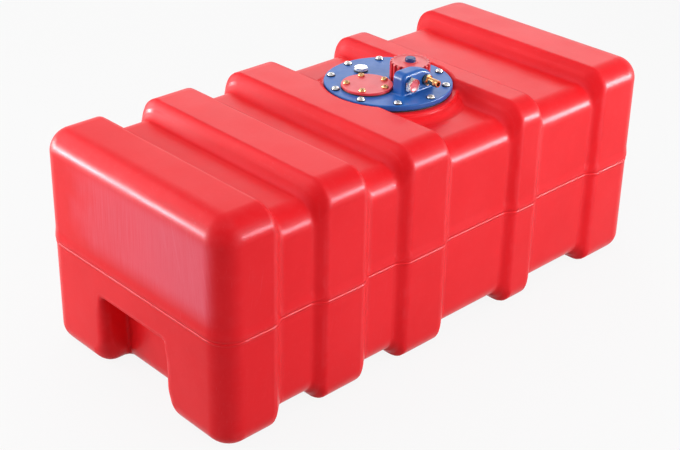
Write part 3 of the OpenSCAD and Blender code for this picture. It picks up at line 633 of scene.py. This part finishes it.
def make_tank_red():
    """Glossy moulded polyethylene: slight waves, mottled colour, a painted reflection with fine marks on the
    ends' upper halves, scratches, edges painted paler for wear and as painted highlight, painted shade in
    inner corners.
    """
    look = Look("tank_red", 0.3, level=0.16)
    look.shader.inputs["Specular Tint"].default_value = (1.0, 0.74, 0.88, 1.0)
    clouds = look.ramp(look.noise(0.11, 3.0, 0.5), 0.3, 0.7)
    mottle = look.ramp(look.noise(0.007, 2.0, 0.6), 0.5, 0.8)
    color = look.mix(clouds, (0.82, 0.010, 0.015), (0.86, 0.015, 0.021))
    color = look.mix(look.times(mottle, 0.12), color, (0.9, 0.05, 0.055))
    end_sheen, marks_in_sheen = end_sheen_and_marks(look)
    # Painted reflection: the upper half of both end faces is painted pinker, more so towards the front, and
    # the fine upright marks in it paler still.
    sheen_toward_front = look.ramp(look.axis("y"), 0.13, -0.13, 0.16, 0.42)
    color = look.mix(look.times(end_sheen, sheen_toward_front), color, (0.86, 0.19, 0.28))
    color = look.mix(look.times(marks_in_sheen, 0.16), color, (0.88, 0.32, 0.42))
    # Handling scratches along the length, across it and upright
    scratch = look.most(
        scratches(look, 0.0011, (90, 1, 1), (0, 0, 0.3)),
        scratches(look, 0.0012, (1, 70, 1), (0, 0.1, -0.25)),
        scratches(look, 0.0011, (1, 1, 60), (0, 0.15, 0)),
    )
    color = look.mix(look.times(scratch, 0.1), color, (0.93, 0.2, 0.25))
    # Paler edges, partly wear and partly painted highlight, and painted shade in inner corners; both are
    # duller than the walls
    bent = look.value("bend")
    wear_and_edge_highlight = look.times(look.ramp(bent, 0.4, 1.6), look.ramp(bent, 2.0, 2.8, 1.0, 0.3),
                      look.ramp(look.noise(0.02, 3.0, 0.5), 0.35, 0.75))
    # Painted highlight, partly wear: rounded edges are painted paler in patches.
    color = look.mix(look.times(wear_and_edge_highlight, 0.14), color, (0.92, 0.10, 0.12))
    # Painted shade: inner corners are painted darker.
    color = look.mix(look.ramp(bent, -0.2, -1.4, 0.0, 0.12), color, (0.62, 0.008, 0.010))
    rough = look.plus(
        look.ramp(look.noise(0.05, 2.0), 0.3, 0.7, 0.28, 0.33), look.times(marks_in_sheen, 0.14),
        look.times(scratch, 0.08), look.ramp(bent, 1.4, 2.5, 0.0, 0.26),
        look.ramp(bent, -0.5, -1.8, 0.0, 0.25),
    )
    waves, grain = look.noise(0.045, 1.0), look.noise(0.005, 2.0)
    return look.finish(color, rough, (waves, 0.0005), (grain, 0.00004), (marks_in_sheen, 0.00006))


def make_plastic(name, dark, light, pale, roughness, level, top_sheen):
    """Moulded plastic: colour clouds, fine grain, a few scratches, a little dust, upper faces painted paler
    as sheen, painted shade in hollows.
    """
    look = Look(name, roughness, level=level)
    color = look.mix(look.ramp(look.noise(0.03, 3.0, 0.6), 0.3, 0.7), dark, light)
    # Painted sheen: faces that look up are painted paler.
    color = look.mix(look.ramp(look.facing((0, 0, 1)), 0.7, 1.0, 0.0, top_sheen), color, pale)
    scratch = scratches(look, 0.0005, (1, 30, 1), (0, 0, 0.6))
    # Painted shade: hollows, such as those between the cap's ribs, are painted darker.
    color = look.mix(look.ramp(look.value("hollow"), 0.1, 0.9, 0.0, 0.6), color, darker(dark, 0.25))
    dust = look.ramp(look.noise(0.0016, 3.0, 0.7), 0.64, 0.84, 0.0, 0.35)
    color = look.mix(look.most(look.times(scratch, 0.4), dust), color, pale)
    rough = look.plus(look.ramp(look.noise(0.012, 3.0), 0.3, 0.7, roughness, roughness + 0.09),
                      look.times(scratch, 0.15))
    grain = look.noise(0.0012, 2.0)
    return look.finish(color, rough, (grain, 0.00003), (look.times(scratch, -1.0), 0.00003))


def make_metal(name, color, tarnish, roughness, marks_stretch):
    """Plated or solid metal: patches of tarnish, fine tool marks and specks."""
    look = Look(name, roughness, 1.0)
    patch = look.ramp(look.noise(0.004, 4.0, 0.65), 0.45, 0.7)
    speck = look.ramp(look.noise(0.0007, 2.0), 0.66, 0.74)
    mixed = look.mix(look.times(patch, 0.6), color, tarnish)
    mixed = look.mix(look.times(speck, 0.5), mixed, darker(tarnish, 0.4))
    # Painted shade: hollows, such as the screws' cross recesses, are painted darker.
    mixed = look.mix(look.ramp(look.value("hollow"), 0.2, 0.8, 0.0, 0.85), mixed, darker(tarnish, 0.12))
    marks = look.noise(0.0004, 2.0, 0.6, marks_stretch)
    rough = look.plus(look.ramp(patch, 0.0, 1.0, roughness, roughness + 0.18),
                      look.ramp(marks, 0.3, 0.7, -0.03, 0.05))
    return look.finish(mixed, rough, (marks, 0.000015), (patch, 0.00001))


def make_rubber(name, dark, pale, roughness):
    """Black rubber with a pale bloom in patches and a fine grain."""
    look = Look(name, roughness, level=0.4)
    bloom = look.ramp(look.noise(0.006, 4.0, 0.65), 0.4, 0.75)
    color = look.mix(bloom, dark, pale)
    rough = look.ramp(bloom, 0.0, 1.0, roughness - 0.08, roughness + 0.1)
    return look.finish(color, rough, (look.noise(0.0009, 3.0, 0.6), 0.00006))


# Dark, light and pale colour (for dust and scratches), roughness, gloss level, share of the pale colour
# painted on upper faces as sheen
PLASTICS = {
    "plate_blue": ((0.010, 0.10, 0.42), (0.016, 0.13, 0.48), (0.16, 0.33, 0.7), 0.28, 0.32, 0.06),
    "cover_red": ((0.78, 0.035, 0.05), (0.84, 0.05, 0.065), (0.9, 0.26, 0.31), 0.28, 0.32, 0.24),
    "cap_red": ((0.72, 0.02, 0.028), (0.8, 0.03, 0.038), (0.9, 0.25, 0.28), 0.28, 0.32, 0.26),
    # The insert is a red plug, painted pale pink as a reflection of the tank in the fitting.
    "insert_red": ((0.8, 0.13, 0.16), (0.88, 0.2, 0.24), (0.95, 0.45, 0.48), 0.28, 0.4, 0.0),
    "button_blue": ((0.008, 0.035, 0.16), (0.014, 0.05, 0.21), (0.15, 0.25, 0.5), 0.28, 0.4, 0.0),
    "strainer_white": ((0.76, 0.75, 0.70), (0.82, 0.82, 0.79), (0.9, 0.9, 0.88), 0.42, 0.4, 0.0),
}
# Colour, tarnish, roughness, stretch of the tool marks
METALS = {
    "brass": ((0.86, 0.50, 0.22), (0.55, 0.20, 0.07), 0.2, (1, 1, 1)),
    "zinc_steel": ((0.9, 0.89, 0.87), (0.66, 0.63, 0.58), 0.24, (1, 1, 1)),
    "nickel": ((0.82, 0.80, 0.76), (0.6, 0.56, 0.5), 0.14, (1, 1, 1)),
    "tube_aluminium": ((0.8, 0.81, 0.82), (0.6, 0.6, 0.6), 0.3, (8, 8, 1)),
}
looks = {"tank_red": make_tank_red()}
for slot, values in PLASTICS.items():
    looks[slot] = make_plastic(slot, *values)
looks["black_rubber"] = make_rubber("black_rubber", (0.012, 0.012, 0.014), (0.035, 0.035, 0.038), 0.6)
for slot, values in METALS.items():
    looks[slot] = make_metal(slot, *values)

for piece, slot in ((tank, "tank_red"), (plate, "plate_blue"), (cap, "cap_red"),
                    (plate_screws, "zinc_steel"), (cover_screws, "brass")):
    piece.data.materials.append(looks[slot])
for row in frame["record"]["subparts"]:
    node = frame["nodes"][row["node"]]
    node.data.materials.clear()
    node.data.materials.append(looks[row["material_slot"]])


# Camera, lights and floor
# The photograph's width, and the camera's focal length and shift in its pixels
PHOTO_W, FOCAL, SHIFT_UP = 680, 1384.49, -60
SENSOR_W = 36.0
CAMERA_AT, CAMERA_TURN = (-1.17873, -1.18955, 1.00473), (1.1176, -0.0178, -0.7559)
FLOOR_HALF = 30


def make_camera():
    """The photograph's camera: place in metres and turn in radians, fitted to the tank's corners."""
    data = bpy.data.cameras.new("camera")
    data.sensor_width = SENSOR_W
    data.lens = SENSOR_W * FOCAL / PHOTO_W
    data.shift_y = SHIFT_UP / PHOTO_W
    data.clip_start, data.clip_end = 0.05, 50
    camera = bpy.data.objects.new("camera", data)
    camera.rotation_euler = Euler(CAMERA_TURN, "XYZ")
    camera.location = CAMERA_AT
    bpy.context.scene.collection.objects.link(camera)
    bpy.context.scene.camera = camera


def area_light(name, place, aim, width, height, power, mirrored=False):
    """A soft panel that lights the object, or one that is only mirrored in it."""
    data = bpy.data.lights.new(name, "AREA")
    data.shape = "RECTANGLE"
    data.size, data.size_y, data.energy = width, height, power
    light = bpy.data.objects.new(name, data)
    light.location = place
    light.rotation_euler = (Vector(aim) - Vector(place)).to_track_quat("-Z", "Y").to_euler()
    light.visible_camera = False
    light.visible_glossy, light.visible_diffuse = mirrored, not mirrored
    bpy.context.scene.collection.objects.link(light)


def seen_share(tree, amount):
    """amount for the camera's, glossy and transmission rays, and 0 for the rays that light the object."""
    path = tree.nodes.new("ShaderNodeLightPath")
    seen = path.outputs["Is Camera Ray"]
    for other in ("Is Glossy Ray", "Is Transmission Ray"):
        seen = math_node(tree, "MAXIMUM", seen, path.outputs[other])
    return math_node(tree, "MULTIPLY", seen, amount)


def make_floor():
    """A pale floor that is seen nearly white, with the object's shadow on it."""
    made = bpy.data.materials.new("floor_pale")
    made.use_nodes = True
    tree = made.node_tree
    shader = tree.nodes["Principled BSDF"]
    shader.inputs["Base Color"].default_value = (0.5, 0.5, 0.5, 1)
    shader.inputs["Roughness"].default_value = 0.9
    shader.inputs["Specular IOR Level"].default_value = 0.0
    glow = tree.nodes.new("ShaderNodeEmission")
    glow.inputs["Color"].default_value = (1, 1, 1, 1)
    mix = tree.nodes.new("ShaderNodeMixShader")
    tree.links.new(seen_share(tree, 0.9), mix.inputs[0])
    tree.links.new(shader.outputs[0], mix.inputs[1])
    tree.links.new(glow.outputs[0], mix.inputs[2])
    tree.links.new(mix.outputs[0], tree.nodes["Material Output"].inputs["Surface"])
    mesh = bpy.data.meshes.new("floor")
    corners = [(x * FLOOR_HALF, y * FLOOR_HALF, 0) for x, y in ((-1, -1), (1, -1), (1, 1), (-1, 1))]
    mesh.from_pydata(corners, [], [(0, 1, 2, 3)])
    floor = bpy.data.objects.new("floor", mesh)
    floor.data.materials.append(made)
    bpy.context.scene.collection.objects.link(floor)


def make_world(fill):
    """White round about to the camera and in reflections, greyer overhead, and a weak even fill light."""
    world = bpy.data.worlds.new("studio")
    bpy.context.scene.world = world
    world.use_nodes = True
    tree = world.node_tree
    back = tree.nodes["Background"]
    back.inputs["Color"].default_value = (1, 1, 1, 1)
    up = tree.nodes.new("ShaderNodeSeparateXYZ")
    tree.links.new(tree.nodes.new("ShaderNodeTexCoord").outputs["Generated"], up.inputs[0])
    ceiling = tree.nodes.new("ShaderNodeMapRange")
    ceiling.interpolation_type = "SMOOTHSTEP"
    for name, number in (("From Min", 0.5), ("From Max", 0.95), ("To Min", 1 - fill), ("To Max", 0.0)):
        ceiling.inputs[name].default_value = number
    tree.links.new(up.outputs["Z"], ceiling.inputs["Value"])
    seen = math_node(tree, "MULTIPLY", seen_share(tree, 1.0), ceiling.outputs[0])
    tree.links.new(math_node(tree, "ADD", seen, fill), back.inputs["Strength"])


make_camera()
make_world(0.26)
make_floor()
area_light("overhead", (-0.15, 0.2, 2.0), (0, 0, 0.2), 2.4, 1.5, 14.5)
area_light("back", (0.95, 1.5, 1.2), (0.1, 0, 0.15), 1.8, 1.2, 12)
area_light("left", (-1.15, 0.85, 0.58), (-0.35, 0.2, 0.2), 1.4, 0.7, 15)
area_light("right", (0.45, -1.15, 0.64), (0.1, 0, 0.2), 1.6, 0.75, 13.8)
area_light("back_strip", (1.6, 1.35, 1.05), (0.2, 0, 0.3), 1.7, 0.6, 4.6, mirrored=True)
area_light("left_sheen", (-1.0, 1.5, 1.55), (0, 0, 0.3), 1.6, 1.1, 16, mirrored=True)
area_light("left_strip", (-1.5, 1.6, 0.34), (-0.3, 0, 0.2), 1.8, 0.2, 100, mirrored=True)
area_light("right_strip", (1.45, -1.6, 0.38), (0, 0, 0.2), 1.8, 0.2, 100, mirrored=True)
bpy.context.scene.view_settings.view_transform = "Standard"
